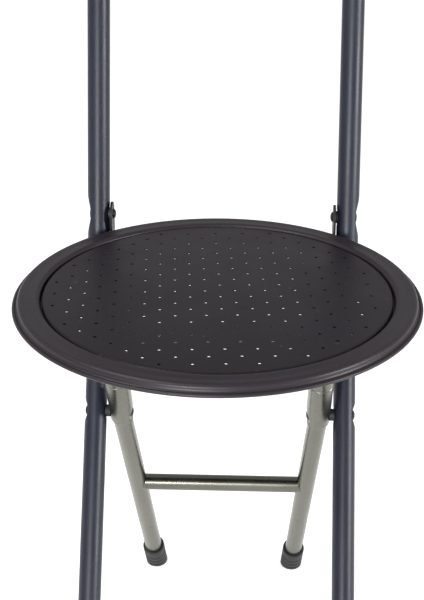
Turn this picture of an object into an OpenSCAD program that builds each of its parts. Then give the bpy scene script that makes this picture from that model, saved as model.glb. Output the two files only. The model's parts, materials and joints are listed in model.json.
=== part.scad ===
// Folding chair with a round perforated seat, two dark side tubes and crossed bright rear legs.
// Millimetres, +Z up, floor at z = 0, the sitter faces -Y, +X is to the right seen from the front.

/* [Seat] */
// Diameter of the seat over its rolled rim
seat_d = 330; // [300:1:360]
// Height of the rim's top above the floor
seat_h = 450; // [430:1:480]
// Thickness of the rim's sheet
rim_t = 1.2; // [1:0.1:1.6]
// Width of the rim's flat band
rim_band_w = 14.6; // [12:0.1:20]
// Radius of the rolled outer edge
rim_roll_r = 7; // [5:0.5:8]
// Diameter of the hem bead under the rolled edge
hem_d = 3.2; // [2.4:0.1:4]
// Depth of the ledge that carries the panel
ledge_drop = 6.5; // [5:0.5:8]
// Width of that ledge
ledge_w = 20; // [16:1:26]
// Open groove between the rim and the panel
groove_w = 2.2; // [1:0.1:4]
// Thickness of the perforated panel
panel_t = 1; // [0.8:0.1:1.5]
// Radius of the panel's turned-down edge
panel_edge_r = 5; // [4:0.5:6]
// Rise of the panel from its edge to its middle
panel_crown = 1.5; // [1:0.5:4]
// Diameter of a perforation
hole_d = 3.2; // [2.5:0.1:4.5]
// Spacing of the perforations along a row
hole_pitch = 24.2; // [20:0.1:32]
// Spacing of the staggered rows
row_pitch = 11.3; // [9:0.1:14]
// Turn of the perforation pattern on the seat
pattern_turn = 3.8; // [0:0.1:10]
// Place of the pattern's middle, to the right and to the rear of the seat's middle
pattern_shift = [2, -1];

/* [Side tubes] */
// Diameter of a side tube
tube_d = 20; // [18:0.5:22]
// Wall of every tube
tube_wall = 1.2; // [1:0.1:1.6]
// Distance between the side tubes, centre to centre
tube_gauge = 225; // [215:1:240]
// Backward lean of the uprights
upright_lean = 16; // [13:0.5:18]
// Forward lean of the front legs
leg_lean = 33; // [30:0.5:35]
// Radius of the bend between upright and leg
tube_bend_r = 120; // [90:5:140]
// Drop of that bend below the rim's top
bend_drop = 90; // [80:1:100]
// Diameter of the cross tubes low between the legs
stretcher_d = 16; // [12:0.5:18]
// Height of the front cross tube above the floor
front_stretcher_h = 110; // [90:1:130]

/* [Backrest] */
// Length of the uprights above the seat pivots
upright_l = 298; // [290:1:320]
// Length from the seat pivots to the top bar
hoop_h = 345; // [340:1:370]
// Radius of the hoop's corners
hoop_r = 40; // [30:1:44]
// Height of the backrest panel
back_h = 85; // [60:1:90]
// Length from the seat pivots to the panel's lower edge
back_z = 205; // [195:1:210]
// Thickness of the panel
back_t = 1.2; // [1:0.1:2]
// Radius that the panel is curved to
back_bend_r = 360; // [300:5:500]
// Diameter of the beads along the panel's edges
back_bead_d = 4; // [3:0.1:5]

/* [Rear frame] */
// Diameter of a rear leg
leg_d = 18; // [16:0.5:19]
// Distance between the rear legs at their pivots
leg_gauge = 178; // [176:0.5:180]
// Distance between the rear feet
rear_foot_gauge = 150; // [130:1:176]
// Backward lean of the rear legs
rear_lean = 31.5; // [29:0.5:33]
// Drop of the leg pivots below the rim's top
leg_pivot_drop = 156; // [152:1:165]
// Diameter of the widened sockets on the rear legs and of the yoke's arms
arm_d = 22; // [21:0.5:22.5]
// Length from the leg pivots up to the splice with the yoke
splice_l = 58; // [45:1:62]
// Drop of the yoke's bar below the rim's top
bar_drop = 45; // [42:1:50]
// Diameter of the yoke's bar
bar_d = 18; // [16:0.5:20]
// Height of the rear cross tube above the floor
rear_stretcher_h = 170; // [160:1:190]

/* [Pivots] */
// Diameter of a pivot rivet's shank
rivet_d = 6; // [5:0.5:7]
// Height of the seat pivots above the rim's top
seat_pivot_rise = 8; // [7.5:0.5:12]
// Distance of the seat pivots behind the seat's middle
seat_pivot_back = 145; // [144.5:0.5:150]
// Depth of the crushed hollow under a rivet's outer head
crush_depth = 3.3; // [2.5:0.1:4]
// Length of that hollow along the tube at the seat pivots
seat_crush_l = 34; // [28:1:36]
// Length of that hollow along the tube at the leg pivots
leg_crush_l = 24; // [22:1:30]
// Depth of the flat that a washer bears on
flat_depth = 1; // [0.8:0.1:1.5]
// Play between a shank and the piece that turns on it, on the radius
turn_play = 0.05; // [0.02:0.01:0.09]
// Play between flat faces that slide on each other
face_play = 0.15; // [0.1:0.05:0.3]

/* [Brackets] */
// Thickness of the seat brackets
plate_t = 2; // [1.5:0.1:2.5]
// Width of a bracket's flange
flange_w = 30; // [29:0.5:32]
// Drop of the bracket's webs below the rim's top
web_drop = 24; // [22:0.5:28]
// Radius of the ear round a seat pivot
ear_r = 11; // [9:0.5:12]
// Thickness of the saddle pads on the yoke's bar
pad_t = 2; // [1.5:0.1:3]
// Width of a saddle pad
pad_w = 8; // [5:0.5:10]
// Sector of the saddle behind the top of the bar
saddle_back = 25; // [15:1:30]

/* [Feet] */
// Wall of a foot's sleeve
foot_wall = 2.5; // [2:0.1:3]
// Length of a foot's sleeve
foot_l = 42; // [34:1:50]
// Length along the leg between the floor and the tube's end
foot_sole = 10; // [9.5:0.1:12]

/* [Hidden] */
$fn = 96;
lap = 1;
dark = [0.13, 0.14, 0.18];
bright = [0.72, 0.72, 0.68];
black = [0.08, 0.08, 0.08];

// Directions and points in the side view, as [y, z] from the seat's middle at the rim's top
function lean(angle) = [sin(angle), cos(angle)];
up_dir = lean(upright_lean);
leg_dir = lean(leg_lean);
arm_dir = lean(-rear_lean);
seat_pivot_s = [seat_pivot_back, seat_pivot_rise];
bend_s = seat_pivot_s - up_dir * (seat_pivot_rise + bend_drop) / up_dir[1];
leg_pivot_s = bend_s - leg_dir * (leg_pivot_drop - bend_drop) / leg_dir[1];
front_foot_s = bend_s - leg_dir * (seat_h - bend_drop) / leg_dir[1];
rear_foot_s = leg_pivot_s - arm_dir * (seat_h - leg_pivot_drop) / arm_dir[1];

// The origin lies midway between the foremost and the rearmost edge
front_reach = min(front_foot_s[0] - (tube_d / 2 + foot_wall) / leg_dir[1], -seat_d / 2);
rear_reach = rear_foot_s[0] + (leg_d / 2 + foot_wall) / arm_dir[1];
seat_y = -(front_reach + rear_reach) / 2;
seat_mid = [seat_y, seat_h];
seat_pivot = seat_mid + seat_pivot_s;
bend_pt = seat_mid + bend_s;
leg_pivot = seat_mid + leg_pivot_s;
front_foot = seat_mid + front_foot_s;
rear_foot = seat_mid + rear_foot_s;

tube_x = tube_gauge / 2;
leg_x = leg_gauge / 2;
tube_in = tube_d - 2 * tube_wall;
leg_in = leg_d - 2 * tube_wall;
bend_angle = leg_lean - upright_lean;
bend_l = tube_bend_r * tan(bend_angle / 2);
bend_top = bend_pt + up_dir * bend_l;
bend_low = bend_pt - leg_dir * bend_l;
bend_mid = bend_top + [-up_dir[1], up_dir[0]] * tube_bend_r;
bend_swell = 0.3;
tube_end = front_foot + leg_dir * foot_sole;
tube_top = seat_pivot + up_dir * upright_l;

// Faces along X at the pivots
tube_flat_x = tube_x - tube_d / 2 + flat_depth;
tube_head_x = tube_x + tube_d / 2 - crush_depth;
leg_flat_x = leg_x + arm_d / 2 - flat_depth;
leg_head_x = leg_x - arm_d / 2 + crush_depth;
ear_x = tube_x - tube_d / 2 - lap;
function dish_r(l) = (l * l / 4 + crush_depth * crush_depth) / (2 * crush_depth);
washer_d = rivet_d + 5;
slug_rim = 4;
head_ratio = 1.6;
head_d = rivet_d * head_ratio;
head_h = 2.6;
head_gap = 0.03;
function head_lift(l) = dish_r(l) - sqrt(pow(dish_r(l), 2) - head_d * head_d / 4) + head_gap;

// Rear leg and yoke
kink_drop = 14;
socket_drop = 9;
leg_lap = 12;
kink = leg_pivot - arm_dir * kink_drop;
rear_kink = [leg_x, kink[0], kink[1]];
rear_foot_pt = [rear_foot_gauge / 2, rear_foot[0], rear_foot[1]];
rear_axis = (rear_kink - rear_foot_pt) / norm(rear_kink - rear_foot_pt);
rear_end = rear_foot_pt + rear_axis * foot_sole;
splice = leg_pivot + arm_dir * splice_l;
bar = leg_pivot + arm_dir * (leg_pivot_drop - bar_drop) / arm_dir[1];
spigot_play = 0.05;
socket_in = arm_d - 2 * tube_wall;
spigot_d = socket_in - 2 * spigot_play;
spigot_l = 22;
arm_past_bar = bar_d / 2 + 3;
arm_top = bar + arm_dir * arm_past_bar;
bar_x = leg_x - arm_d / 4;
end_t = 2;

// Seat
seat_r = seat_d / 2;
roll_mid_r = seat_r - rim_roll_r;
rim_wall_r = roll_mid_r - rim_band_w;
panel_r = rim_wall_r - groove_w;
dome_edge_r = panel_r - panel_edge_r;
dome_edge_z = panel_edge_r - ledge_drop;
dome_r = (dome_edge_r * dome_edge_r + panel_crown * panel_crown) / (2 * panel_crown);
hole_zone_r = dome_edge_r - hole_d / 2;
flange_top = -ledge_drop - rim_t;
web_x = ear_x - flange_w;
rivet_small_d = 5;
small_head_d = rivet_small_d * head_ratio;
small_head_h = 1.2;
bracket_hole_y = sqrt(pow(rim_wall_r - ledge_w / 2, 2) - pow(ear_x - flange_w / 2, 2));
pad_play = 0.3;
pad_r = bar_d / 2 + pad_play + pad_t;
ear_gap = 1.5;
saddle_wall = 4;

// A round bar between two points
module rod(a, b, d) {
  v = b - a;
  translate(a)
    rotate([0, acos(v[2] / norm(v)), atan2(v[1], v[0])])
      cylinder(h = norm(v), d = d);
}

// A round bar along X at a point of the side view
module x_rod(x0, x1, p, d) {
  translate([x0, p[0], p[1]])
    rotate([0, 90, 0])
      cylinder(h = x1 - x0, d = d);
}

// A plate drawn in the side view, from x0 to x0 + t
module side_plate(x0, t) {
  translate([x0, 0, 0])
    rotate([90, 0, 90])
      linear_extrude(t) children();
}

// Right-hand pieces as drawn, left-hand pieces mirrored
module on_side(s) {
  if (s > 0) children();
  else mirror([1, 0, 0]) children();
}

function at(x, p) = [x, p[0], p[1]];

// The dished hollow, l long, that a press leaves in a tube round a pivot
module crush(x, p, dir, tube_r, l) {
  translate([x + dir * (tube_r - crush_depth + dish_r(l)), p[0], p[1]]) sphere(r = dish_r(l));
}

// The flat on a tube's other side that a washer or spacer bears on
module washer_flat(x, p, dir, tube_r) {
  face = x + dir * (tube_r - flat_depth);
  x_rod(min(face, face + dir * tube_r), max(face, face + dir * tube_r), p, washer_d + lap);
}

// A domed rivet head on a face at x, standing out towards dir
module head(x, p, dir, d, h) {
  ball_r = (d * d / 4 + h * h) / (2 * h);
  translate([x, p[0], p[1]])
    rotate([0, dir * 90, 0])
      intersection() {
        translate([0, 0, h - ball_r]) sphere(r = ball_r);
        cylinder(h = h + lap, d = d + lap);
      }
}

// The line of a side tube, solid, at one diameter, drawn round the middle of its bend
module side_line(d, extra) {
  translate(at(tube_x, bend_mid))
    rotate([90, 0, 90])
      rotate([0, 0, -leg_lean]) {
        rotate_extrude(angle = bend_angle)
          translate([tube_bend_r, 0]) circle(d = d + bend_swell);
        translate([tube_bend_r, lap, 0])
          rotate([90, 0, 0]) cylinder(h = norm(bend_low - tube_end) + extra + lap, d = d);
        rotate([0, 0, bend_angle])
          translate([tube_bend_r, -lap, 0])
            rotate([-90, 0, 0]) cylinder(h = norm(tube_top - bend_top) + extra + lap, d = d);
      }
}

module side_tube() {
  pivots = [[seat_pivot, seat_crush_l], [leg_pivot, leg_crush_l]];
  color(dark)
    difference() {
      side_line(tube_d, 0);
      difference() {
        side_line(tube_in, lap);
        for (p = pivots) x_rod(tube_x - tube_d, tube_x + tube_d, p[0], p[1] + 2 * slug_rim);
      }
      for (p = pivots) {
        crush(tube_x, p[0], 1, tube_d / 2, p[1]);
        washer_flat(tube_x, p[0], -1, tube_d / 2);
        x_rod(tube_x - tube_d, tube_x + tube_d, p[0], rivet_d);
      }
      back_rivet_places() back_rivet_hole();
    }
}

module left_side_tube() { on_side(-1) side_tube(); }
module right_side_tube() { on_side(1) side_tube(); }

// The frame of the uprights: Z runs up along them from the seat pivots
module back_frame() {
  translate([0, seat_pivot[0], seat_pivot[1]])
    rotate([-upright_lean, 0, 0]) children();
}

module hoop_line(d, extra) {
  for (s = [-1, 1]) on_side(s) {
    translate([tube_x, 0, upright_l - extra]) cylinder(h = hoop_h - hoop_r - upright_l + extra, d = d);
    translate([tube_x - hoop_r, 0, hoop_h - hoop_r])
      rotate([90, 0, 0])
        rotate_extrude(angle = 90)
          translate([hoop_r, 0]) circle(d = d);
  }
  translate([hoop_r - tube_x, 0, hoop_h])
    rotate([0, 90, 0])
      cylinder(h = tube_gauge - 2 * hoop_r, d = d);
}

module back_hoop() {
  spigot = tube_in - 2 * spigot_play;
  color(dark)
    back_frame()
      difference() {
        union() {
          hoop_line(tube_d, 0);
          for (s = [-1, 1]) on_side(s)
            translate([tube_x, 0, upright_l - spigot_l]) cylinder(h = spigot_l + lap, d = spigot);
        }
        hoop_line(spigot - 2 * tube_wall, spigot_l + lap);
      }
}

// The panel's curve: its middle line lies in front of the uprights
back_axis_y = -sqrt(pow(back_bend_r + tube_d / 2, 2) - tube_x * tube_x);
back_side_angle = asin(tube_x / (back_bend_r + tube_d / 2));
back_lip_angle = 1.2;
back_half_angle = back_side_angle + back_lip_angle;
back_rivet_depth = 3;
back_rivet_inset = 17;
back_holes_x = floor((tube_x - tube_d) / (hole_pitch / 2));
back_holes_z = floor((back_h - 2 * back_bead_d) / 2 / row_pitch) - 1;

// Turns a piece drawn along +Y from the panel's axis to each rivet of the right side
module back_rivet_places() {
  back_frame()
    for (z = [back_rivet_inset, back_h - back_rivet_inset])
      translate([0, back_axis_y, back_z + z])
        rotate([0, 0, -back_side_angle])
          translate([0, back_bend_r, 0]) children();
}

module back_rivet_hole() {
  rotate([90, 0, 0])
    translate([0, 0, -back_rivet_depth - lap])
      cylinder(h = back_rivet_depth + lap + 4 * back_t, d = rivet_small_d);
}

module backrest_panel() {
  color(dark)
    difference() {
      back_frame()
        translate([0, back_axis_y, back_z])
          difference() {
            rotate([0, 0, 90 - back_half_angle])
              rotate_extrude(angle = 2 * back_half_angle) {
                translate([back_bend_r - back_t, 0]) square([back_t, back_h]);
                for (z = [0, back_h])
                  translate([back_bend_r - back_bead_d / 2, z]) circle(d = back_bead_d);
              }
            for (i = [-back_holes_x : back_holes_x], j = [-back_holes_z : back_holes_z])
              if ((i + j) % 2 == 0)
                translate([i * hole_pitch / 2, back_bend_r - 2 * tube_d, back_h / 2 + j * row_pitch])
                  rotate([-90, 0, 0]) cylinder(h = 3 * tube_d, d = hole_d);
          }
      for (s = [-1, 1]) on_side(s) back_rivet_places() back_rivet_hole();
    }
}

module backrest_rivets() {
  color(dark)
    for (s = [-1, 1]) on_side(s)
      back_rivet_places()
        rotate([90, 0, 0]) {
          translate([0, 0, -back_rivet_depth]) 
            cylinder(h = back_rivet_depth + back_t + 2 * head_gap, d = rivet_small_d);
            translate([0, 0, back_t + head_gap])
            rotate([0, -90, 0]) head(0, [0, 0], 1, small_head_d, small_head_h);
        }
}

// A cross tube between two legs, its ends coped to them
module front_stretcher() {
  p = front_foot + leg_dir * front_stretcher_h / leg_dir[1];
  color(dark)
    difference() {
      x_rod(-tube_x, tube_x, p, stretcher_d);
      x_rod(-tube_x, tube_x, p, stretcher_d - 2 * tube_wall);
      for (s = [-1, 1]) on_side(s) side_line(tube_d, 0);
    }
}

module rear_stretcher() {
  p = rear_foot_pt + rear_axis * rear_stretcher_h / rear_axis[2];
  color(bright)
    difference() {
      x_rod(-p[0], p[0], [p[1], p[2]], stretcher_d);
      x_rod(-p[0], p[0], [p[1], p[2]], stretcher_d - 2 * tube_wall);
      for (s = [-1, 1]) on_side(s) rod(rear_end, rear_kink, leg_d);
    }
}

// A moulded sleeve on a leg's end, its sole flat on the floor
module foot(floor_pt, axis, d) {
  color(black)
    difference() {
      rod(floor_pt - axis * foot_sole, floor_pt + axis * foot_l, d + 2 * foot_wall);
      rod(floor_pt + axis * foot_sole, floor_pt + axis * (foot_l + lap), d);
      translate(floor_pt - [2 * tube_d, 2 * tube_d, 4 * tube_d]) cube(4 * tube_d);
    }
}

module front_left_foot() { on_side(-1) foot(at(tube_x, front_foot), at(0, leg_dir), tube_d); }
module front_right_foot() { on_side(1) foot(at(tube_x, front_foot), at(0, leg_dir), tube_d); }
module rear_left_foot() { on_side(-1) foot(rear_foot_pt, rear_axis, leg_d); }
module rear_right_foot() { on_side(1) foot(rear_foot_pt, rear_axis, leg_d); }

// A rivet through a side tube and the piece that turns inside it
module pivot_rivet(p, inner_x, l) {
  outer_x = tube_head_x + head_lift(l);
  color(dark) {
    x_rod(inner_x, outer_x, p, rivet_d);
    head(outer_x, p, 1, head_d, head_h);
    head(inner_x, p, -1, head_d, head_h);
  }
}

module seat_rivet() { pivot_rivet(seat_pivot, ear_x - plate_t - face_play, seat_crush_l); }
module leg_rivet() {
  pivot_rivet(leg_pivot, leg_head_x - head_lift(leg_crush_l) - face_play, leg_crush_l);
}
module left_seat_rivet() { on_side(-1) seat_rivet(); }
module right_seat_rivet() { on_side(1) seat_rivet(); }
module left_leg_rivet() { on_side(-1) leg_rivet(); }
module right_leg_rivet() { on_side(1) leg_rivet(); }

// A ring on a rivet's shank between a side tube's flat and a turning face
module ring(p, x0, d) {
  color(black)
    difference() {
      x_rod(x0, tube_flat_x, p, d);
      x_rod(x0 - lap, tube_flat_x + lap, p, rivet_d);
    }
}

module seat_washer() { ring(seat_pivot, ear_x + face_play, washer_d); }
module leg_spacer() { ring(leg_pivot, leg_flat_x + face_play, washer_d); }
module left_seat_washer() { on_side(-1) seat_washer(); }
module right_seat_washer() { on_side(1) seat_washer(); }
module left_leg_spacer() { on_side(-1) leg_spacer(); }
module right_leg_spacer() { on_side(1) leg_spacer(); }

// The line of a rear leg: a tube from the foot, widened from just below the pivot to the splice
module rear_line(low_d, socket_d, extra) {
  rod(rear_end - rear_axis * extra, rear_kink + rear_axis * leg_lap, low_d);
  rod(at(leg_x, leg_pivot - arm_dir * (socket_drop - extra)), at(leg_x, splice + arm_dir * extra), socket_d);
}

module rear_leg() {
  color(bright)
    difference() {
      rear_line(leg_d, arm_d, 0);
      difference() {
        rear_line(leg_in, socket_in, lap);
        x_rod(leg_x - arm_d, leg_x + arm_d, leg_pivot, leg_crush_l + 2 * slug_rim);
      }
      crush(leg_x, leg_pivot, -1, arm_d / 2, leg_crush_l);
      washer_flat(leg_x, leg_pivot, 1, arm_d / 2);
      x_rod(leg_x - arm_d, leg_x + arm_d, leg_pivot, rivet_d + 2 * turn_play);
    }
}

module left_rear_leg() { on_side(-1) rear_leg(); }
module right_rear_leg() { on_side(1) rear_leg(); }

// The bar under the seat between two closed arms, their spigots plugged into the rear legs
module support_yoke() {
  arm_in = spigot_d - 2 * tube_wall;
  color(bright)
    difference() {
      union() {
        for (s = [-1, 1]) on_side(s)
          difference() {
            union() {
              rod(at(leg_x, splice), at(leg_x, arm_top), arm_d);
              rod(at(leg_x, splice - arm_dir * spigot_l), at(leg_x, splice + arm_dir * lap), spigot_d);
            }
            rod(at(leg_x, splice - arm_dir * (spigot_l + lap)), at(leg_x, arm_top - arm_dir * end_t), arm_in);
          }
        x_rod(-bar_x, bar_x, bar, bar_d);
      }
      x_rod(end_t - bar_x, bar_x - end_t, bar, bar_d - 2 * tube_wall);
    }
}

// Places a piece drawn from the rim's top at the seat's middle
module seat_frame() {
  translate([0, seat_y, seat_h]) children();
}

module bracket_rivet_places() {
  for (s = [-1, 1], t = [-1, 1])
    translate([s * (ear_x - flange_w / 2), t * bracket_hole_y, 0]) children();
}

module seat_rim() {
  color(dark)
    seat_frame()
      difference() {
        rotate_extrude() {
          translate([rim_wall_r, -rim_t]) square([rim_band_w, rim_t]);
          intersection() {
            translate([roll_mid_r, -rim_roll_r])
              difference() {
                circle(r = rim_roll_r);
                circle(r = rim_roll_r - rim_t);
              }
            translate([roll_mid_r, -rim_roll_r]) square(rim_roll_r);
          }
          translate([seat_r - hem_d / 2, -rim_roll_r]) circle(d = hem_d);
          translate([rim_wall_r, flange_top]) square([rim_t, ledge_drop + rim_t]);
          translate([rim_wall_r - ledge_w, flange_top]) square([ledge_w + rim_t, rim_t]);
        }
        bracket_rivet_places()
          translate([0, 0, flange_top - lap]) cylinder(h = rim_t + 2 * lap, d = rivet_small_d);
      }
}

module seat_panel() {
  columns = ceil(hole_zone_r / (hole_pitch / 2)) + 2;
  rows = ceil(hole_zone_r / row_pitch) + 2;
  color(dark)
    seat_frame()
      difference() {
        rotate_extrude() {
          intersection() {
            translate([0, dome_edge_z + panel_crown - dome_r])
              difference() {
                circle(r = dome_r);
                circle(r = dome_r - panel_t);
              }
            translate([0, dome_edge_z - panel_edge_r])
              square([dome_edge_r, panel_edge_r + 2 * panel_crown]);
          }
          intersection() {
            translate([dome_edge_r, dome_edge_z - panel_edge_r])
              difference() {
                circle(r = panel_edge_r);
                circle(r = panel_edge_r - panel_t);
              }
            translate([dome_edge_r, dome_edge_z - panel_edge_r]) square(panel_edge_r);
          }
        }
        rotate([0, 0, pattern_turn])
          for (i = [-columns : columns], j = [-rows : rows])
            if ((i + j) % 2 != 0 && norm(pattern_shift + [i * hole_pitch / 2, j * row_pitch]) < hole_zone_r)
              translate([pattern_shift[0] + i * hole_pitch / 2, pattern_shift[1] + j * row_pitch,
                dome_edge_z - panel_edge_r])
                cylinder(h = panel_edge_r + 2 * panel_crown, d = hole_d);
      }
}

// The part of a saddle's notch that lets the bar out to the rear
module saddle_relief(x0, w) {
  top = seat_h - web_drop;
  far = bar[0] + pad_r + saddle_wall + lap;
  side_plate(x0, w)
    polygon([bar, [bar[0] + (top - bar[1]) * tan(saddle_back), top], [far, top],
      [far, bar[1] - lap], [bar[0], bar[1] - lap]]);
}

// A folded bracket under the seat: flange, inner web with a notch over the bar, outer web with an ear
module seat_bracket() {
  flange_y = bracket_hole_y + rivet_small_d;
  low = seat_h - web_drop;
  top = seat_h + flange_top - plate_t / 8;
  under_rim = seat_h - rim_roll_r - hem_d / 2 - lap;
  rim_y = seat_y + sqrt(seat_r * seat_r - pow(ear_x - plate_t, 2)) + ear_gap;
  rim_in_y = seat_y + bracket_hole_y;
  ear_back = seat_pivot[0] + ear_r;
  color(dark)
    difference() {
      union() {
        translate([web_x, seat_y - flange_y, seat_h + flange_top - plate_t])
          cube([flange_w, 2 * flange_y, plate_t]);
        side_plate(web_x, plate_t) {
          polygon([[bar[0] - 3 * pad_r, top], [rim_in_y, top], [rim_in_y, under_rim],
            [bar[0] + 3 * pad_r, low], [bar[0] - 3 * pad_r, low]]);
          translate([bar[0] - pad_r - saddle_wall, bar[1]])
            square([2 * (pad_r + saddle_wall), low - bar[1] + lap]);
        }
        side_plate(ear_x - plate_t, plate_t) {
          polygon([[seat_y, top], [rim_in_y, top], [rim_in_y, under_rim], [rim_y, under_rim],
            [rim_y, seat_pivot[1]], [ear_back, seat_pivot[1]], [ear_back, under_rim],
            [rim_y, low], [seat_y, low]]);
          translate(seat_pivot)
            intersection() {
              circle(r = ear_r);
              translate([rim_y - seat_pivot[0], -ear_r]) square(2 * ear_r);
            }
        }
      }
      x_rod(web_x - lap, web_x + plate_t + lap, bar, 2 * pad_r);
      saddle_relief(web_x - lap, plate_t + 2 * lap);
      x_rod(ear_x - plate_t - lap, ear_x + lap, seat_pivot, rivet_d + 2 * turn_play);
      seat_frame()
        for (t = [-1, 1])
          translate([ear_x - flange_w / 2, t * bracket_hole_y, flange_top - plate_t - lap])
            cylinder(h = plate_t + 2 * lap, d = rivet_small_d);
    }
}

module left_seat_bracket() { on_side(-1) seat_bracket(); }
module right_seat_bracket() { on_side(1) seat_bracket(); }

module bracket_rivets() {
  color(dark)
    seat_frame()
      bracket_rivet_places() {
        translate([0, 0, flange_top - plate_t]) cylinder(h = plate_t + rim_t, d = rivet_small_d);
        translate([0, 0, flange_top + rim_t])
          rotate([0, -90, 0]) head(0, [0, 0], 1, small_head_d, small_head_h);
        translate([0, 0, flange_top - plate_t])
          rotate([0, -90, 0]) head(0, [0, 0], -1, small_head_d, small_head_h);
      }
}

// A part ring that lines a bracket's notch and rests on the bar
module saddle_pad() {
  x0 = web_x + plate_t / 2 - pad_w / 2;
  color(black)
    difference() {
      x_rod(x0, x0 + pad_w, bar, 2 * pad_r);
      x_rod(x0 - lap, x0 + pad_w + lap, bar, 2 * (pad_r - pad_t));
      translate([x0 - lap, bar[0] - 2 * pad_r, bar[1] - 4 * pad_r])
        cube([pad_w + 2 * lap, 4 * pad_r, 4 * pad_r]);
      saddle_relief(x0 - lap, pad_w + 2 * lap);
    }
}

module left_saddle_pad() { on_side(-1) saddle_pad(); }
module right_saddle_pad() { on_side(1) saddle_pad(); }

left_side_tube();
right_side_tube();
back_hoop();
backrest_panel();
backrest_rivets();
front_stretcher();
front_left_foot();
front_right_foot();
left_seat_rivet();
right_seat_rivet();
left_seat_washer();
right_seat_washer();
left_leg_rivet();
right_leg_rivet();
left_leg_spacer();
right_leg_spacer();
left_rear_leg();
right_rear_leg();
support_yoke();
rear_stretcher();
rear_left_foot();
rear_right_foot();
seat_rim();
seat_panel();
left_seat_bracket();
right_seat_bracket();
bracket_rivets();
left_saddle_pad();
right_saddle_pad();
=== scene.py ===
# %% [markdown]
# # A folding metal chair with a round perforated seat
# Two dark steel tubes run from the front feet up to the backrest, two bright ones cross
# them as rear legs, and a round perforated seat hangs between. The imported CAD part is
# loaded first and stays where it is. Every smooth piece below is drawn over it in the same
# frame: metres, +Z up, the sitter facing -Y. The chair's own sizes are named in millimetres.

# %% load the frame
import json
import math

import bmesh
import bpy
from mathutils import Matrix, Vector


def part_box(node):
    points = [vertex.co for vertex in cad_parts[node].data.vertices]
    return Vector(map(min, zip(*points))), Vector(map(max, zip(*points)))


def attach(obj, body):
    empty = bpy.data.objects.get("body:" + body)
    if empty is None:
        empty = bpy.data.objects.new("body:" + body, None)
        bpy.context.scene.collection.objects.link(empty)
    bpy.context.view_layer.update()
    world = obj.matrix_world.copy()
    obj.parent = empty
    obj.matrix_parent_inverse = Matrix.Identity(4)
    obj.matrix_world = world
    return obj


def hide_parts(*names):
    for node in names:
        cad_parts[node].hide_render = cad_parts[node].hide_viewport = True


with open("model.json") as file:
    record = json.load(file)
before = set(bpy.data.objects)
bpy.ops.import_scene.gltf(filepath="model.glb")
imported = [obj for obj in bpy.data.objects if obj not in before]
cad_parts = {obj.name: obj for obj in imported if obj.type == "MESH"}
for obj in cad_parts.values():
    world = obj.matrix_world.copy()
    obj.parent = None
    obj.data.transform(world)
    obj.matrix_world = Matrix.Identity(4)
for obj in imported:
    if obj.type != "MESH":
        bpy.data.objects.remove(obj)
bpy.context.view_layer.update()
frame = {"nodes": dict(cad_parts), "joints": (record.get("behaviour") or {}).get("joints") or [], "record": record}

MM = 0.001
SIDES = (("left", -1), ("right", 1))
pivots = {j["name"]: Vector(j["pos_m"]) for j in frame["joints"]}

# %% [markdown]
# ## Helpers
# Five small helpers keep the rest short. `add` puts a node in any node tree with its
# settings and links. `linear` turns a colour picked from a photograph into the linear
# light that Blender works in. `across` is a step to the chair's side. `finish_mesh` cleans
# and smooths a mesh, and `keep` turns a finished one into a piece of the chair.

# %% helpers
same_place = 1e-6  # metres within which two vertices are one


def add(tree, kind, inputs=None, **settings):
    """A new node with its settings; each input takes a value or another node's socket."""
    made = tree.nodes.new(kind)
    for name, value in settings.items():
        setattr(made, name, value)
    for name, value in (inputs or {}).items():
        if isinstance(value, bpy.types.NodeSocket):
            tree.links.new(value, made.inputs[name])
        else:
            made.inputs[name].default_value = value
    return made


def linear(hex_colour):
    """An sRGB hex colour as linear RGBA."""
    channels = [int(hex_colour[i:i + 2], 16) / 255 for i in (1, 3, 5)]
    return [c / 12.92 if c <= 0.04045 else ((c + 0.055) / 1.055) ** 2.4 for c in channels] + [1.0]


def across(x):
    """A step of x mm to the chair's side."""
    return Vector((x * MM, 0, 0))


def finish_mesh(mesh, smooth_deg):
    """Merges doubles, turns faces outwards and smooths every edge below an angle."""
    work = bmesh.new()
    work.from_mesh(mesh)
    bmesh.ops.remove_doubles(work, verts=work.verts, dist=same_place)
    bmesh.ops.recalc_face_normals(work, faces=work.faces)
    for edge in work.edges:
        edge.smooth = len(edge.link_faces) != 2 or edge.calc_face_angle() < math.radians(smooth_deg)
    for face in work.faces:
        face.smooth = True
    work.to_mesh(mesh)
    work.free()
    return mesh


def keep(name, mesh, material, body, slot, *nodes):
    """Shows a mesh as a piece that rides on a body in place of CAD nodes."""
    mesh.materials.clear()
    mesh.materials.append(material)
    piece = bpy.data.objects.new(name, mesh)
    bpy.context.collection.objects.link(piece)
    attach(piece, body)
    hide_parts(*nodes)
    print(f"{name}: {len(mesh.polygons)} faces on {body}")


# %% [markdown]
# ## Materials
# Most of the chair is powder-coated steel; the rear legs are lacquered silver, the feet
# and pads moulded plastic. One function makes them all, since they differ only in tone,
# gloss and grain. The patterns use Object coordinates, so a scale of 1/size makes a grain
# of that size in metres on any piece. A broad noise shifts the tone and the gloss a little
# and a fine one gives the grain, drawn coarser than the real one, which would not show.

# %% one function for every coat
patch = 45  # mm across a patch where tone and gloss drift
nick = 6  # mm across the noise whose peaks are worn spots
nick_edge = {"From Min": 0.74, "From Max": 0.78}
noise_swing = {"From Min": 0.3, "From Max": 0.7}  # where most of a noise lies


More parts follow.
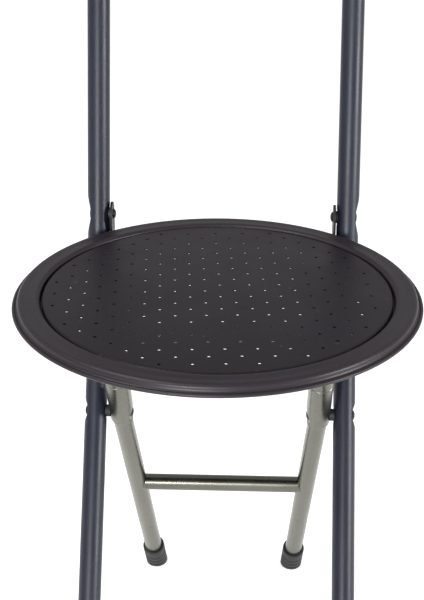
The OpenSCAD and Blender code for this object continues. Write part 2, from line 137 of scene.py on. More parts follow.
def coat(name, dark, light, gloss, grain, height, metallic=0.0, streak=(1, 1, 1),
         specular=0.5, sparkle=0.1, nicks=None):
    """A surface with two close tones, a gloss range and a fine grain, sizes in mm."""
    mat = bpy.data.materials.new(name)
    mat.use_nodes = True
    tree = mat.node_tree
    shader = tree.nodes["Principled BSDF"]
    place = add(tree, "ShaderNodeTexCoord").outputs["Object"]
    drawn = add(tree, "ShaderNodeMapping", {"Vector": place, "Scale": streak}).outputs["Vector"]
    broad = add(tree, "ShaderNodeTexNoise", {"Vector": place, "Scale": 1 / (patch * MM), "Detail": 3.0})
    fine = add(tree, "ShaderNodeTexNoise", {"Vector": drawn, "Scale": 1 / (grain * MM), "Detail": 2.0})
    tone = add(tree, "ShaderNodeMix", {"Factor": broad.outputs["Fac"], "A": linear(dark), "B": linear(light)},
               data_type="RGBA").outputs["Result"]
    speck = add(tree, "ShaderNodeMapRange", {"Value": fine.outputs["Fac"], **noise_swing,
                                             "To Min": 1 - sparkle, "To Max": 1 + sparkle})
    shade = add(tree, "ShaderNodeVectorMath", {0: tone, 1: speck.outputs["Result"]},
                operation="MULTIPLY").outputs[0]
    if nicks:
        spots = add(tree, "ShaderNodeTexNoise", {"Vector": place, "Scale": 1 / (nick * MM), "Detail": 1.0})
        worn = add(tree, "ShaderNodeMapRange", {"Value": spots.outputs["Fac"], **nick_edge})
        shade = add(tree, "ShaderNodeMix", {"Factor": worn.outputs["Result"], "A": shade, "B": linear(nicks)},
                    data_type="RGBA").outputs["Result"]
    rough = add(tree, "ShaderNodeMapRange", {"Value": broad.outputs["Fac"], **noise_swing,
                                             "To Min": gloss[0], "To Max": gloss[1]})
    bump = add(tree, "ShaderNodeBump", {"Height": fine.outputs["Fac"], "Distance": height * MM,
                                        "Strength": 1.0})
    tree.links.new(shade, shader.inputs["Base Color"])
    tree.links.new(rough.outputs["Result"], shader.inputs["Roughness"])
    tree.links.new(bump.outputs["Normal"], shader.inputs["Normal"])
    shader.inputs["Metallic"].default_value = metallic
    shader.inputs["Specular IOR Level"].default_value = specular
    return mat


# %% the chair's materials
# Blue-black powder coat of the side tubes and the backrest: a satin sheen on a wrinkled grain
frame_coat = coat("powder_coat_blue_black", "#141724", "#1D2132", gloss=(0.36, 0.44), grain=0.9,
                  height=0.12, specular=0.42, sparkle=0.45)
# Warm black powder coat of the seat's rim: smoother, so the ridge catches a clear light
rim_coat = coat("powder_coat_warm_black", "#211C22", "#292227", gloss=(0.34, 0.42), grain=0.8,
                height=0.06, specular=0.32, sparkle=0.3)
# The same coat on the panel, worn duller by sitting, with brownish spots
panel_coat = coat("powder_coat_worn_black", "#1C1A20", "#251F23", gloss=(0.34, 0.44), grain=0.8,
                  height=0.06, specular=0.19, sparkle=0.2, nicks="#3A302B")
# Black paint of the brackets under the seat: matt and even
bracket_paint = coat("bracket_black_paint", "#131315", "#1B1B1D", gloss=(0.45, 0.55), grain=0.8,
                     height=0.05, specular=0.3)
# Satin silver lacquer on the rear legs: a soft mirror drawn lengthwise, with a few dull spots
silver = coat("silver_lacquer", "#66665E", "#77766D", gloss=(0.24, 0.32), grain=0.5,
              height=0.01, metallic=1.0, streak=(1, 1, 0.12), nicks="#4E4C46")
# Blackened steel of the rivets: half metal, half oxide, so a dim glint
rivet_steel = coat("blackened_rivet_steel", "#141416", "#1E1E21", gloss=(0.34, 0.46), grain=0.6,
                   height=0.02, metallic=0.5)
# Moulded black plastic of the feet, washers and pads: broad, weak highlights
plastic = coat("moulded_black_plastic", "#121212", "#1A1A1A", gloss=(0.5, 0.62), grain=0.5, height=0.04)
print("materials", sorted(m.name for m in bpy.data.materials))

# %% [markdown]
# ## Turned sheet
# The seat's rim and panel, the rivet heads and the feet are all round, so each section is
# drawn once and spun. A Screw modifier could do it too; a short function gives the mesh at
# once and leaves nothing to apply.

# %% turned meshes
def arc(centre, radius, start, stop, steps):
    """Points on an arc in a section, angles in degrees."""
    turns = [math.radians(start + (stop - start) * i / steps) for i in range(steps + 1)]
    return [(centre[0] + radius * math.cos(a), centre[1] + radius * math.sin(a)) for a in turns]


def lathe(name, section, steps, closed=True):
    """Spins (radius, height) points in mm round an upright axis at the origin."""
    verts, faces = [], []
    count = len(section)
    for i in range(steps):
        a = 2 * math.pi * i / steps
        verts += [Vector((r * math.cos(a), r * math.sin(a), z)) * MM for r, z in section]
    for i in range(steps):
        for j in range(count if closed else count - 1):
            k = (j + 1) % count
            n = (i + 1) % steps
            faces.append((i * count + j, n * count + j, n * count + k, i * count + k))
    mesh = bpy.data.meshes.new(name)
    mesh.from_pydata(verts, [], faces)
    return mesh


# %% [markdown]
# ## Bent tube
# A tube is a ring carried along its centre line, straights joined by bends. A bevelled
# curve would give the plain tube, but where a pivot goes through, a press has squeezed
# this one flat. So the ring is swept by hand, and its points that stand too far out are
# pushed back, by an amount that fades smoothly along the tube.

# %% bent lines
def fillet(corner, before, after, radius, steps=24):
    """Points of a bend, its radius in mm, that replaces the corner between two straights."""
    u = (before - corner).normalized()
    v = (after - corner).normalized()
    half = u.angle(v) / 2
    reach = radius * MM / math.tan(half)
    middle = corner + (u + v).normalized() * (radius * MM / math.sin(half))
    start = (corner + u * reach - middle).normalized()
    stop = (corner + v * reach - middle).normalized()
    return [middle + start.slerp(stop, i / steps) * (radius * MM) for i in range(steps + 1)]


def along(points, step=1.5):
    """The line through the points with about one point per step, in mm."""
    line = []
    for a, b in zip(points, points[1:]):
        count = max(1, round((b - a).length / (step * MM)))
        line += [a.lerp(b, i / count) for i in range(count)]
    return line + [points[-1]]


# %% swept tubes
tube_ring = 48  # points round a tube
tube_edge = 0.6  # mm by which a cut end is eased
press_share = 0.9  # of what stands out is pushed back, so a pressed flat stays slightly round


def tube(name, line, radius, presses=()):
    """A round tube along a line, its ends eased; the radius in mm is one value or one per point.
    Each press is (pivot, outward x, depth, length)."""
    radii = [r * MM for r in radius] if isinstance(radius, list) else [radius * MM] * len(line)
    edge = tube_edge * MM
    last = len(line) - 1
    lies_across = abs((line[1] - line[0]).normalized().x) > 0.9
    side = Vector((0, 1, 0)) if lies_across else Vector((1, 0, 0))
    rings = [(i, edge * ((i == 0) - (i == last)), 0) for i in range(last + 1)]
    rings = [(0, 0, -edge)] + rings + [(last, 0, -edge)]
    verts, faces = [], []
    for i, shift, ease in rings:
        ahead = (line[min(i + 1, last)] - line[max(i - 1, 0)]).normalized()
        side = (side - ahead * side.dot(ahead)).normalized()
        up = ahead.cross(side)
        for k in range(tube_ring):
            a = 2 * math.pi * k / tube_ring
            out = (side * math.cos(a) + up * math.sin(a)) * (radii[i] + ease)
            for pivot, outward, depth, length in presses:
                reach = (line[i] - pivot).length / (length * MM / 2)
                if reach < 1:
                    flat = radii[i] - depth * MM * (0.5 + 0.5 * math.cos(math.pi * reach))
                    over = out.x * outward - flat
                    if over > 0:
                        out.x -= outward * over * press_share
            verts.append(line[i] + ahead * shift + out)
    for i in range(len(rings) - 1):
        here = i * tube_ring
        there = here + tube_ring
        for k in range(tube_ring):
            n = (k + 1) % tube_ring
            faces.append((here + k, here + n, there + n, there + k))
    faces += [tuple(range(tube_ring)), tuple(range(len(verts) - tube_ring, len(verts)))]
    mesh = bpy.data.meshes.new(name)
    mesh.from_pydata(verts, [], faces)
    return finish_mesh(mesh, smooth_deg=40)


# %% [markdown]
# ## The seat's rim
# A ring of pressed sheet: a shallow band between a rounded lip and a ridge, an outer skirt
# that ends in a hemmed bead, and on the inside a wall down to the ledge that carries the
# panel. A bevelled plain ring would lose the ridge, so the section is drawn as one closed
# line and spun. Radii are from the seat's axis, heights from the rim's top.

# %% rim
rim_low, rim_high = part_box("seat_rim")
SEAT = Vector((0, (rim_low.y + rim_high.y) / 2, rim_high.z))
seat_r = 165.0
sheet_t = 1.2
wall_r = 142.6
lip_r = 3.5
band_at = 152.0
band_half = 2.5
band_dip = 0.35
band_shoulder = 0.25
ridge_at = 157.5
ridge_r = 3.4
hem_r = 1.6
hem_z = -7.0
ledge_r = 123.4
ledge_z = -6.5
corner_r = 0.8
lip = (wall_r + lip_r, -lip_r)
ridge = (ridge_at, -ridge_r)
hem = (seat_r - hem_r, hem_z)
corner = (wall_r - corner_r, ledge_z + corner_r)
band = [(band_at - band_half, -band_shoulder), (band_at, -band_dip), (band_at + band_half, -band_shoulder)]
skirt_outside = [(161.2, -4.7), (161.8, -5.6)]
skirt_inside = [(160.6, -6.4), (159.9, -4.7)]
ledge = [(wall_r + sheet_t, ledge_z - sheet_t), (ledge_r, ledge_z - sheet_t), (ledge_r, ledge_z)]
rim_section = (
    arc(lip, lip_r, 180, 90, 8) + band + arc(ridge, ridge_r, 90, 0, 10) + skirt_outside
    + arc(hem, hem_r, 135, -170, 14) + skirt_inside
    + arc(ridge, ridge_r - sheet_t, 0, 90, 8) + [(band_at, -band_dip - sheet_t)]
    + arc(lip, lip_r - sheet_t, 90, 180, 6) + ledge + arc(corner, corner_r, 270, 360, 4)
)
rim = finish_mesh(lathe("seat_rim_sheet", rim_section, steps=240), smooth_deg=50)
rim.transform(Matrix.Translation(SEAT))
keep("seat_rim_sheet", rim, rim_coat, "seat", "seat_paint", "seat_rim")

# %% [markdown]
# ## The perforated panels
# Both panels carry staggered rows of small round holes, punched through the sheet. Holes
# drawn in a material would have no depth, and hundreds of Boolean modifiers would be slow,
# so one Geometry Nodes tree makes them. It lays out a grid, keeps every other point, drops
# those outside the zone, puts a cutter on each and takes the cutters from the sheet.

# %% perforation tree
def perforation_tree():
    """A tree that punches staggered rows of holes down through a sheet lying flat."""
    count = 41  # grid points each way; odd, so that every other index gives staggered rows
    cutter_sides = 20
    cutter_depth = 60 * MM
    tree = bpy.data.node_groups.new("perforate", "GeometryNodeTree")
    sockets = tree.interface
    sockets.new_socket("Sheet", in_out="INPUT", socket_type="NodeSocketGeometry")
    for name in ("Hole diameter", "Hole pitch", "Row pitch", "Turn", "Odd",
                 "Zone radius", "Half width", "Half height"):
        sockets.new_socket(name, in_out="INPUT", socket_type="NodeSocketFloat")
    sockets.new_socket("Shift", in_out="INPUT", socket_type="NodeSocketVector")
    sockets.new_socket("Finish", in_out="INPUT", socket_type="NodeSocketMaterial")
    sockets.new_socket("Panel", in_out="OUTPUT", socket_type="NodeSocketGeometry")
    given = add(tree, "NodeGroupInput").outputs
    span_x = add(tree, "ShaderNodeMath", {0: given["Hole pitch"], 1: (count - 1) / 2}, operation="MULTIPLY")
    span_y = add(tree, "ShaderNodeMath", {0: given["Row pitch"], 1: count - 1.0}, operation="MULTIPLY")
    grid = add(tree, "GeometryNodeMeshGrid", {"Size X": span_x.outputs[0], "Size Y": span_y.outputs[0],
                                              "Vertices X": count, "Vertices Y": count})
    points = add(tree, "GeometryNodeMeshToPoints", {"Mesh": grid.outputs["Mesh"]})
    index = add(tree, "GeometryNodeInputIndex").outputs[0]
    parity = add(tree, "ShaderNodeMath", {0: index, 1: given["Odd"]}, operation="ADD").outputs[0]
    stagger = add(tree, "ShaderNodeMath", {0: parity, 1: 2.0}, operation="MODULO").outputs[0]
    place = add(tree, "GeometryNodeInputPosition").outputs[0]
    where = add(tree, "ShaderNodeVectorMath", {0: place, 1: given["Shift"]}, operation="ADD").outputs[0]
    axis = add(tree, "ShaderNodeSeparateXYZ", {0: where}).outputs
    reach = add(tree, "ShaderNodeVectorMath", {0: where}, operation="LENGTH").outputs["Value"]
    wide = add(tree, "ShaderNodeMath", {0: axis["X"]}, operation="ABSOLUTE").outputs[0]
    high = add(tree, "ShaderNodeMath", {0: axis["Y"]}, operation="ABSOLUTE").outputs[0]
    drop = stagger
    for far, limit in ((reach, "Zone radius"), (wide, "Half width"), (high, "Half height")):
        beyond = add(tree, "ShaderNodeMath", {0: far, 1: given[limit]}, operation="GREATER_THAN").outputs[0]
        drop = add(tree, "ShaderNodeMath", {0: drop, 1: beyond}, operation="MAXIMUM").outputs[0]
    kept = add(tree, "GeometryNodeDeleteGeometry", {"Geometry": points.outputs[0], "Selection": drop},
               domain="POINT")
    turn = add(tree, "ShaderNodeCombineXYZ", {"Z": given["Turn"]}).outputs[0]
    moved = add(tree, "GeometryNodeTransform", {"Geometry": kept.outputs[0], "Translation": given["Shift"]})
    turned = add(tree, "GeometryNodeTransform", {"Geometry": moved.outputs[0], "Rotation": turn})
    cutter_r = add(tree, "ShaderNodeMath", {0: given["Hole diameter"], 1: 0.5}, operation="MULTIPLY")
    cutter = add(tree, "GeometryNodeMeshCylinder", {"Vertices": cutter_sides, "Depth": cutter_depth,
                                                    "Radius": cutter_r.outputs[0]})
    cutters = add(tree, "GeometryNodeInstanceOnPoints", {"Points": turned.outputs[0],
                                                         "Instance": cutter.outputs["Mesh"]})
    solid = add(tree, "GeometryNodeRealizeInstances", {0: cutters.outputs[0]})
    cut = add(tree, "GeometryNodeMeshBoolean", {"Mesh 1": given["Sheet"], "Mesh 2": solid.outputs[0]},
              operation="DIFFERENCE", solver="EXACT")
    whole = add(tree, "GeometryNodeRealizeInstances", {0: cut.outputs["Mesh"]})
    done = add(tree, "GeometryNodeSetMaterial", {"Geometry": whole.outputs[0], "Material": given["Finish"]})
    add(tree, "NodeGroupOutput", {"Panel": done.outputs[0]})
    return tree


perforate = perforation_tree()
print("perforation tree with", len(perforate.nodes), "nodes")


# %% run a tree
def run_tree(tree, mesh, values, name):
    """Runs a node tree on a mesh and returns the result as a plain mesh."""
    holder = bpy.data.objects.new(name + "_work", mesh)
    bpy.context.collection.objects.link(holder)
    modifier = holder.modifiers.new("nodes", "NODES")
    modifier.node_group = tree
    for item in tree.interface.items_tree:
        if item.in_out == "INPUT" and item.name in values:
            modifier[item.identifier] = values[item.name]
    shown = holder.evaluated_get(bpy.context.evaluated_depsgraph_get())
    made = bpy.data.meshes.new_from_object(shown)
    made.name = name
    holder.modifiers.clear()
    bpy.data.objects.remove(holder)
    return made


# %% [markdown]
# ### The seat's panel
# An almost flat round of sheet with a slight crown, its edge turned down into the rim's
# groove to stand on the ledge. It is spun like the rim and then perforated. The cuts leave
# long, uneven faces in the dome, so the shading normals are set from the dome itself.

# %% seat panel sheet
edge_r = 138.7
edge_z = -1.5
bend_r = 2.5
panel_t = 1.0
crown = 1.5
stand_gap = 0.05  # left over the ledge
dome_r = (edge_r ** 2 + crown ** 2) / (2 * crown)
dome_rings = 14
ring_spread = 0.8  # below 1 the rings crowd towards the edge
bend_start = 84  # degrees; the dome's edge is itself the bend's first point


def dome_z(r):
    """Height of the dome's top at a radius, in mm over the rim's top."""
    return edge_z + crown - dome_r + math.sqrt(dome_r ** 2 - r ** 2)


dome_steps = [edge_r * (i / dome_rings) ** ring_spread for i in range(dome_rings + 1)]
bend_centre = (edge_r, edge_z - bend_r)
panel_foot = ledge_z + stand_gap
upper = [(r, dome_z(r)) for r in dome_steps]
turned_out = arc(bend_centre, bend_r, bend_start, 0, 10) + [(edge_r + bend_r, panel_foot)]
turned_in = [(edge_r + bend_r - panel_t, panel_foot)] + arc(bend_centre, bend_r - panel_t, 0, bend_start, 8)
under = [(r, z - panel_t) for r, z in reversed(upper)]
panel_section = upper + turned_out + turned_in + under
panel_sheet = finish_mesh(lathe("seat_panel_sheet", panel_section, steps=180, closed=False), smooth_deg=60)
print("seat panel", 2 * (edge_r + bend_r), "mm across")

# %% seat panel holes
no_limit = 1.0  # metres, past any panel
panel = run_tree(perforate, panel_sheet, {
    "Hole diameter": 2.9 * MM, "Hole pitch": 24.2 * MM, "Row pitch": 11.3 * MM,
    "Turn": math.radians(3.8), "Odd": 1.0, "Shift": (2 * MM, -1 * MM, 0),
    "Zone radius": 134.6 * MM, "Half width": no_limit, "Half height": no_limit,
    "Finish": panel_coat}, "seat_panel_sheet")
# Each hole through a closed sheet lowers its Euler number by two
holes = 1 - (len(panel.vertices) - len(panel.edges) + len(panel.polygons)) // 2
print("holes through the seat panel", holes)


# %% seat panel shading
def dome_normals(mesh):
    """Gives the dome and its bend their own true normals; other faces stay flat."""
    bend_from = edge_r + 0.01
    same_way = 0.5  # cosine from which a face counts as part of the upper side
    normals = []
    for face in mesh.polygons:
        face.use_smooth = True
        for i in face.loop_indices:
            v = mesh.vertices[mesh.loops[i].vertex_index].co
            r = math.hypot(v.x, v.y) / MM
            up = Vector((v.x / MM, v.y / MM, dome_r)).normalized()
            if r > bend_from:
                centre = Vector((v.x, v.y, 0)).normalized() * edge_r * MM
                centre.z = min((edge_z - bend_r) * MM, v.z)
                up = (v - centre).normalized()
            normals.append(up if face.normal.dot(up) > same_way else face.normal)
    mesh.normals_split_custom_set([tuple(n) for n in normals])


dome_normals(panel)
panel.transform(Matrix.Translation(SEAT))
keep("seat_panel_sheet", panel, panel_coat, "seat", "seat_paint", "seat_panel")

# %% [markdown]
# ## The side tubes
# Each is one tube from foot to backrest, bent once under the seat. A press squeezed it
# from outside where the seat and the rear legs are riveted on, and left a shallow dent
# inside. Its line starts from the joints' pivots in the frame, so it meets the CAD.

# %% lines and presses
press_depth = 3.4
dent_depth = 1.2
dent_length = 20


def lean(degrees):
    """A direction in the side view that leans back by an angle."""
    return Vector((0, math.sin(math.radians(degrees)), math.cos(math.radians(degrees))))


def pressed(pivot, outward, length):
    """A deep press on one side of a pivot and a shallow dent opposite."""
    return [(pivot, outward, press_depth, length), (pivot, -outward, dent_depth, dent_length)]


# %% side tubes
seat_pivot = pivots["seat_fold"]
leg_pivot = pivots["leg_fold"]
up_dir = lean(16)
leg_dir = lean(33)
tube_r = 10
tube_x = 112.5
tube_reach = 298  # from the seat pivot up to the hoop's seam
tube_bend = 120
bend_drop = 90  # from the seat's top down to the bend
end_lift = 10  # from the floor up to a tube's end, inside its foot
seat_press = 42
leg_press = 26
bend = seat_pivot - up_dir * ((seat_pivot.z - SEAT.z + bend_drop * MM) / up_dir.z)
tube_top = seat_pivot + up_dir * tube_reach * MM
front_foot = bend - leg_dir * (bend.z / leg_dir.z)
tube_end = front_foot + leg_dir * end_lift * MM
side_line = along([tube_end] + fillet(bend, tube_end, tube_top, tube_bend) + [tube_top])
for side, s in SIDES:
    x = across(s * tube_x)
    presses = pressed(seat_pivot + x, s, seat_press) + pressed(leg_pivot + x, s, leg_press)
    mesh = tube(side + "_side_tube_bent", [p + x for p in side_line], tube_r, presses)
    keep(side + "_side_tube_bent", mesh, frame_coat, "frame", "frame_paint", side + "_side_tube")

# %% [markdown]
# ## The backrest
# A hoop closes the two side tubes at the top, set on them with a fine seam. A curved panel
# with rounded edges is riveted to the front of the uprights. The hoop is one more bent
# tube; the panel is a section swept through part of a turn, then perforated by the tree.

# %% hoop
hoop_top = 345  # along the uprights from the seat pivots
hoop_bend = 40
hoop_ends = ((-tube_x, tube_reach), (-tube_x, hoop_top), (tube_x, hoop_top), (tube_x, tube_reach))


def back_point(x, z):
    """A point on the uprights' plane, z mm along them from the seat pivots."""
    return seat_pivot + across(x) + up_dir * z * MM


low_left, top_left, top_right, low_right = [back_point(x, z) for x, z in hoop_ends]
hoop_line = ([low_left] + fillet(top_left, low_left, top_right, hoop_bend)
             + fillet(top_right, top_left, low_right, hoop_bend) + [low_right])
hoop = tube("back_hoop_bent", along(hoop_line, step=4), tube_r)
keep("back_hoop_bent", hoop, frame_coat, "frame", "frame_paint", "back_hoop")

# %% backrest sheet
back_r = 360.0
back_h = 85.0
bead_r = 2.0
bead_over = 25  # degrees by which a rounded edge runs on past half a turn
back_overhang = 1.2  # degrees past the uprights' middle
back_steps = 96
half_h = back_h / 2
back_axis = -math.sqrt((back_r + tube_r) ** 2 - tube_x ** 2)
tube_angle = math.asin(tube_x / (back_r + tube_r))
half_angle = tube_angle + math.radians(back_overhang)
back_section = (arc((back_r - bead_r, half_h), bead_r, -bead_over, 180 + bead_over, 10)
                + arc((back_r - bead_r, -half_h), bead_r, 180 - bead_over, 360 + bead_over, 10))
verts, faces = [], []
count = len(back_section)
for i in range(back_steps + 1):
    a = half_angle * (2 * i / back_steps - 1)
    verts += [Vector((r * math.sin(a), z, r * math.cos(a) - back_r)) * MM for r, z in back_section]
for i in range(back_steps):
    for j in range(count):
        k = (j + 1) % count
        faces.append((i * count + j, (i + 1) * count + j, (i + 1) * count + k, i * count + k))
faces += [tuple(range(count)), tuple(range(back_steps * count, (back_steps + 1) * count))]
back_sheet = bpy.data.meshes.new("backrest_sheet")
back_sheet.from_pydata(verts, [], faces)
print("backrest sheet", len(faces), "faces before the holes")

# %% backrest panel
back_at = 205  # from the seat pivots up to the panel's lower edge
back = run_tree(perforate, finish_mesh(back_sheet, smooth_deg=60), {
    "Hole diameter": 3.5 * MM, "Hole pitch": 25 * MM, "Row pitch": 11.4 * MM, "Turn": 0.0,
    "Zone radius": no_limit, "Half width": 90 * MM, "Half height": 24 * MM,
    "Finish": frame_coat}, "backrest_panel_sheet")
# The panel was drawn lying down. These axes stand it up against the uprights; they are
# left-handed, which mirrors it, so its faces are turned outwards again afterwards.
rearward = Vector((0, up_dir.z, -up_dir.y))
stand = Matrix((Vector((1, 0, 0)), up_dir, rearward)).transposed().to_4x4()
middle = back_point(0, back_at + half_h) + rearward * (back_axis + back_r) * MM
back.transform(Matrix.Translation(middle) @ stand)
finish_mesh(back, smooth_deg=40)
keep("backrest_panel_sheet", back, frame_coat, "frame", "frame_paint", "backrest_panel")

# %% [markdown]
# ## The rear legs and the yoke
# The bright rear legs cross inside the side tubes and run back to the floor. Each is
# widened to a socket at the pivot, and a yoke joins on above, which shows as a fine ring;
# its bar lies under the seat. The socket is the same swept tube with a radius per point.

# %% rear legs
arm_dir = lean(-31.5)
leg_r = 9
leg_x = 89.0
rear_foot_x = 75
kink_drop = 14  # from the pivot down to where the leg turns in to its foot
kink_bend = 60
socket_r = 11
socket_start = 10.5  # below the pivot
socket_flare = 2.5
socket_reach = 58  # above the pivot
bar_drop = 45  # from the seat's top down to the yoke's bar
kink = leg_pivot - arm_dir * kink_drop * MM
rear_foot = leg_pivot - arm_dir * (leg_pivot.z / arm_dir.z)
splice = leg_pivot + arm_dir * socket_reach * MM
bar = leg_pivot + arm_dir * ((SEAT.z - bar_drop * MM - leg_pivot.z) / arm_dir.z)
rear_feet = {}
for side, s in SIDES:
    at = across(s * leg_x)
    floor_pt = rear_foot + across(s * rear_foot_x)
    slope = (kink + at - floor_pt).normalized()
    rear_feet[side] = (floor_pt, slope)
    start = floor_pt + slope * end_lift * MM
    corners = [start] + fillet(kink + at, start, splice + at, kink_bend, steps=12) + [splice + at]
    line = along(corners, step=0.8)
    flare = [((p - leg_pivot).dot(arm_dir) / MM + socket_start) / socket_flare for p in line]
    ease = [0.5 - 0.5 * math.cos(math.pi * min(max(f, 0), 1)) for f in flare]
    radii = [leg_r + (socket_r - leg_r) * e for e in ease]
    mesh = tube(side + "_rear_leg_bent", line, radii, pressed(leg_pivot + at, -s, leg_press))
    keep(side + "_rear_leg_bent", mesh, silver, "rear_frame", "bright_tube", side + "_rear_leg")

# %% yoke
arm_over = 12  # by which the arms run on past the bar's middle
bar_half = 83
arm_top = bar + arm_dir * arm_over * MM
parts = [tube("arm", along([splice + across(s * leg_x), arm_top + across(s * leg_x)], step=4), socket_r)
         for _, s in SIDES]
parts.append(tube("bar", along([bar + across(-bar_half), bar + across(bar_half)], step=4), leg_r))
joined = bmesh.new()
for part in parts:
    joined.from_mesh(part)
yoke = bpy.data.meshes.new("support_yoke_welded")
joined.to_mesh(yoke)
joined.free()
finish_mesh(yoke, smooth_deg=40)
keep("support_yoke_welded", yoke, silver, "rear_frame", "bright_tube", "support_yoke")

# %% [markdown]
# ## The rivets
# Every rivet has the same domed head, only in other sizes. Copies placed by hand would
# work, but a second node tree is easier to change: it takes bare points that carry a
# direction and a size, and sets a head on each.

# %% rivet tree
def rivet_tree():
    """A tree that sets a head on every point, by the point's own aim and size."""
    tree = bpy.data.node_groups.new("rivet_heads", "GeometryNodeTree")
    sockets = tree.interface
    sockets.new_socket("Places", in_out="INPUT", socket_type="NodeSocketGeometry")
    sockets.new_socket("Head", in_out="INPUT", socket_type="NodeSocketObject")
    sockets.new_socket("Finish", in_out="INPUT", socket_type="NodeSocketMaterial")
    sockets.new_socket("Rivets", in_out="OUTPUT", socket_type="NodeSocketGeometry")
    given = add(tree, "NodeGroupInput").outputs
    aim = add(tree, "GeometryNodeInputNamedAttribute", {"Name": "aim"}, data_type="FLOAT_VECTOR")
    size = add(tree, "GeometryNodeInputNamedAttribute", {"Name": "size"}, data_type="FLOAT_VECTOR")
    turn = add(tree, "FunctionNodeAlignRotationToVector", {"Vector": aim.outputs["Attribute"]}, axis="Z")
    head = add(tree, "GeometryNodeObjectInfo", {"Object": given["Head"]})
    points = add(tree, "GeometryNodeMeshToPoints", {"Mesh": given["Places"]})
    heads = add(tree, "GeometryNodeInstanceOnPoints", {
        "Points": points.outputs[0], "Instance": head.outputs["Geometry"], "Rotation": turn.outputs[0],
        "Scale": size.outputs["Attribute"]})
    whole = add(tree, "GeometryNodeRealizeInstances", {0: heads.outputs[0]})
    done = add(tree, "GeometryNodeSetMaterial", {"Geometry": whole.outputs[0], "Material": given["Finish"]})
    add(tree, "NodeGroupOutput", {"Rivets": done.outputs[0]})
    return tree


set_rivets = rivet_tree()
print("rivet tree with", len(set_rivets.nodes), "nodes")

# %% rivet head
# A head of diameter 1 and height 1 mm with a bit of its shank, scaled where it is set
shank_r = 0.3
head_dome = [(0.5 * math.cos(math.radians(a)), math.sin(math.radians(a))) for a in range(0, 91, 9)]
head_section = [(0, -1), (shank_r, -1), (shank_r, 0)] + head_dome
head_mesh = finish_mesh(lathe("rivet_head", head_section, steps=40, closed=False), smooth_deg=50)
head_object = bpy.data.objects.new("rivet_head", head_mesh)
bpy.context.collection.objects.link(head_object)
print("rivet head", len(head_mesh.polygons), "faces")


# %% setting the rivets
def rivets(name, places, body, *nodes):
    """Heads at (point, direction, diameter, height)."""
    mesh = bpy.data.meshes.new(name + "_places")
    mesh.from_pydata([point for point, *_ in places], [], [])
    aims = mesh.attributes.new("aim", "FLOAT_VECTOR", "POINT")
    aims.data.foreach_set("vector", [c for _, aim, _, _ in places for c in aim])
    sizes = mesh.attributes.new("size", "FLOAT_VECTOR", "POINT")
    sizes.data.foreach_set("vector", [c for _, _, wide, high in places for c in (wide, wide, high)])
    made = run_tree(set_rivets, mesh, {"Head": head_object, "Finish": rivet_steel}, name)
    keep(name, finish_mesh(made, smooth_deg=50), rivet_steel, body, "dark_rivet", *nodes)


# %% rivets
pivot_head = 9.6
head_depth = 2.6  # from the end of a CAD rivet in to its head's foot
seat_head_h = 1.2
leg_head_h = 2.4
back_head = 8
back_head_h = 1.2
back_head_sink = 1.2  # from the panel's outer radius in to a head's foot
back_rivet_in = 17  # from the panel's upper and lower edges
places = []
for side, s in SIDES:
    out = Vector((s, 0, 0))
    for pivot, name, outer_h in ((seat_pivot, "seat", seat_head_h), (leg_pivot, "leg", leg_head_h)):
        inner_x, outer_x = sorted(abs(end.x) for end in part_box(f"{side}_{name}_rivet"))
        places.append((pivot + out * (outer_x - head_depth * MM), out, pivot_head, outer_h))
        places.append((pivot + out * (inner_x + head_depth * MM), -out, pivot_head, head_depth))
for _, s in SIDES:
    aim = Vector((-s * math.sin(tube_angle), 0, 0)) - rearward * math.cos(tube_angle)
    for z in (back_rivet_in, back_h - back_rivet_in):
        centre = back_point(0, back_at + z) + rearward * back_axis * MM
        places.append((centre - aim * (back_r - back_head_sink) * MM, aim, back_head, back_head_h))
rivets("frame_rivet_heads", places, "frame", "left_seat_rivet", "right_seat_rivet", "left_leg_rivet",
       "right_leg_rivet", "backrest_rivets")
bpy.data.objects.remove(head_object)

# %% [markdown]
# ## The feet
# Moulded sleeves with three shallow grooves. A sleeve made upright and then tilted would
# stand on its edge, so each is spun round its leg's own line, longer than needed, and then
# cut off level at the floor.

# %% feet
foot_wall = 2.5
foot_blank = 18  # below the floor, cut away again
foot_draft = 0.05
foot_top = 42
foot_round = 1
foot_bite = 0.3  # by which the bore is tighter than the tube
bore_depth = 22
groove_places = (12, 20, 28)
groove_depth = 0.8
groove_half = 2
groove_floor_half = 1


def foot(name, floor_pt, axis, leg, body, node):
    """A grooved sleeve on a leg's end, its sole level on the floor."""
    outer = leg + foot_wall
    bore = leg - foot_bite
    section = [(0, -foot_blank), (outer - foot_draft, -foot_blank)]
    for z in groove_places:
        section += [(outer, z - groove_half), (outer - groove_depth, z - groove_floor_half),
                    (outer - groove_depth, z + groove_floor_half), (outer, z + groove_half)]
    section += [(outer, foot_top - foot_round)]
    section += arc((outer - foot_round, foot_top - foot_round), foot_round, 0, 90, 4)
    section += [(bore, foot_top), (bore, foot_top - bore_depth)]
    mesh = lathe(name, section, steps=64, closed=False)
    turn = axis.to_track_quat("Z", "Y").to_matrix().to_4x4()
    mesh.transform(Matrix.Translation(floor_pt) @ turn)
    work = bmesh.new()
    work.from_mesh(mesh)
    bmesh.ops.remove_doubles(work, verts=work.verts, dist=same_place)
    cut = bmesh.ops.bisect_plane(work, geom=work.verts[:] + work.edges[:] + work.faces[:],
                                 plane_co=(0, 0, 0), plane_no=(0, 0, -1), clear_outer=True)
    sole = [e for e in cut["geom_cut"] if isinstance(e, bmesh.types.BMEdge)]
    bmesh.ops.contextual_create(work, geom=sole)
    work.to_mesh(mesh)
    work.free()
    keep(name, finish_mesh(mesh, smooth_deg=35), plastic, body, "black_plastic", node)


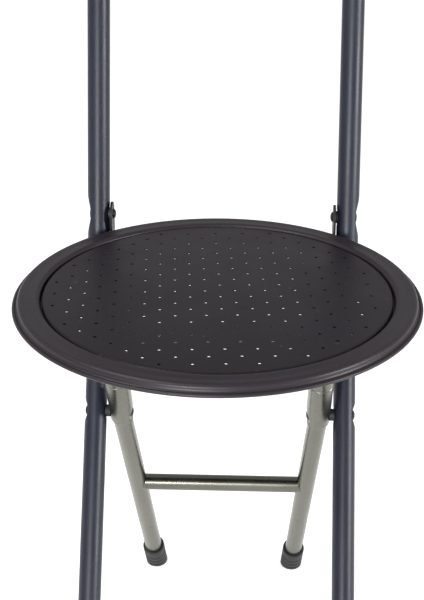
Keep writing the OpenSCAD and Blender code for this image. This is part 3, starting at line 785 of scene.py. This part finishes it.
for side, s in SIDES:
    foot(f"front_{side}_foot_sleeve", front_foot + across(s * tube_x), leg_dir, tube_r, "frame",
         f"front_{side}_foot")
    floor_pt, slope = rear_feet[side]
    foot(f"rear_{side}_foot_sleeve", floor_pt, slope, leg_r, "rear_frame", f"rear_{side}_foot")

# %% [markdown]
# ## The pieces kept from the CAD
# The cross tubes, washers, spacers, brackets with their rivets and the saddle pads are
# already the right shape, so drawing them again would add nothing. They only get the
# material of the real piece; the brackets have a plainer black than the tubes.

# %% carried-over pieces
finish_of = {"frame_paint": frame_coat, "seat_paint": rim_coat, "bright_tube": silver,
             "dark_rivet": rivet_steel, "black_plastic": plastic}
for entry in frame["record"]["subparts"]:
    piece = frame["nodes"][entry["node"]]
    if not piece.hide_render:
        is_bracket = entry["node"].endswith("seat_bracket")
        piece.data.materials.clear()
        piece.data.materials.append(bracket_paint if is_bracket else finish_of[entry["material_slot"]])
        print("kept", entry["node"], "in", entry["material_slot"])

# %% [markdown]
# ## Floor and light
# The chair stands on white paper. More light would bleach the dark coats, so the paper is
# lifted to white only for the camera and for reflections, and still takes the chair's
# shadow. An even sky gives the plain level; three soft lamps, from above, in front and the
# right, draw the highlights along the tubes and the rim.

# %% floor
floor_half = 30  # metres
paper_lift = 0.5
floor_corners = [(x * floor_half, y * floor_half, 0) for x, y in ((-1, -1), (1, -1), (1, 1), (-1, 1))]
floor_mesh = bpy.data.meshes.new("floor")
floor_mesh.from_pydata(floor_corners, [], [(0, 1, 2, 3)])
floor = bpy.data.objects.new("floor", floor_mesh)
bpy.context.collection.objects.link(floor)
# Matt white paper: rough and almost without gloss
paper = bpy.data.materials.new("white_paper")
paper.use_nodes = True
paper_tree = paper.node_tree
paper_inputs = paper_tree.nodes["Principled BSDF"].inputs
paper_inputs["Base Color"].default_value = linear("#F2F2F2")
paper_inputs["Roughness"].default_value = 0.9
paper_inputs["Specular IOR Level"].default_value = 0.1
paper_inputs["Emission Color"].default_value = linear("#FFFFFF")
ray = add(paper_tree, "ShaderNodeLightPath").outputs
seen = ray["Is Camera Ray"]
for kind in ("Is Glossy Ray", "Is Transmission Ray"):
    seen = add(paper_tree, "ShaderNodeMath", {0: seen, 1: ray[kind]}, operation="MAXIMUM").outputs[0]
lift = add(paper_tree, "ShaderNodeMath", {0: seen, 1: paper_lift}, operation="MULTIPLY")
paper_tree.links.new(lift.outputs[0], paper_inputs["Emission Strength"])
floor_mesh.materials.append(paper)
print("floor", 2 * floor_half, "m wide")

# %% light
sky_strength = 0.5
scene = bpy.context.scene
scene.world = bpy.data.worlds.new("studio")
scene.world.use_nodes = True
sky = scene.world.node_tree.nodes["Background"].inputs
sky["Color"].default_value = linear("#FFFFFF")
sky["Strength"].default_value = sky_strength


def lamp(name, place, size, power):
    """A large soft white lamp aimed at the seat, in metres and watts."""
    light = bpy.data.lights.new(name, "AREA")
    light.shape = "DISK"
    light.size = size
    light.energy = power
    held = bpy.data.objects.new(name, light)
    held.location = place
    held.rotation_euler = (SEAT - Vector(place)).to_track_quat("-Z", "Y").to_euler()
    bpy.context.collection.objects.link(held)
    print("lamp", name, power, "W")


lamp("key", (-1.4, -0.9, 2.6), size=1.6, power=34)
lamp("front", (-0.6, -2.6, 0.9), size=0.8, power=52)
lamp("right", (2.4, -0.9, 1.0), size=0.8, power=46)

# %% [markdown]
# ## Camera
# It stands a little to the right of the chair's middle, about a metre off, and looks down
# on the seat. Its angles, lens and shift were fitted to the photograph's rim and tubes.

# %% camera
rise = math.radians(24.46)
swing = math.radians(1.83)
roll = math.radians(0.21)
distance = 1.0629  # metres
away = Vector((math.sin(swing) * math.cos(rise), -math.cos(swing) * math.cos(rise), math.sin(rise)))
lens = bpy.data.cameras.new("camera")
lens.sensor_width = 36
lens.lens = 79.06
lens.shift_x = -0.0093
lens.shift_y = -0.0171
camera = bpy.data.objects.new("camera", lens)
bpy.context.collection.objects.link(camera)
look = (-away).to_track_quat("-Z", "Y").to_matrix().to_4x4()
camera.matrix_world = Matrix.Translation(SEAT + away * distance) @ look @ Matrix.Rotation(roll, 4, "Z")
scene.camera = camera
scene.view_settings.view_transform = "Standard"
print("camera at", tuple(camera.matrix_world.translation))
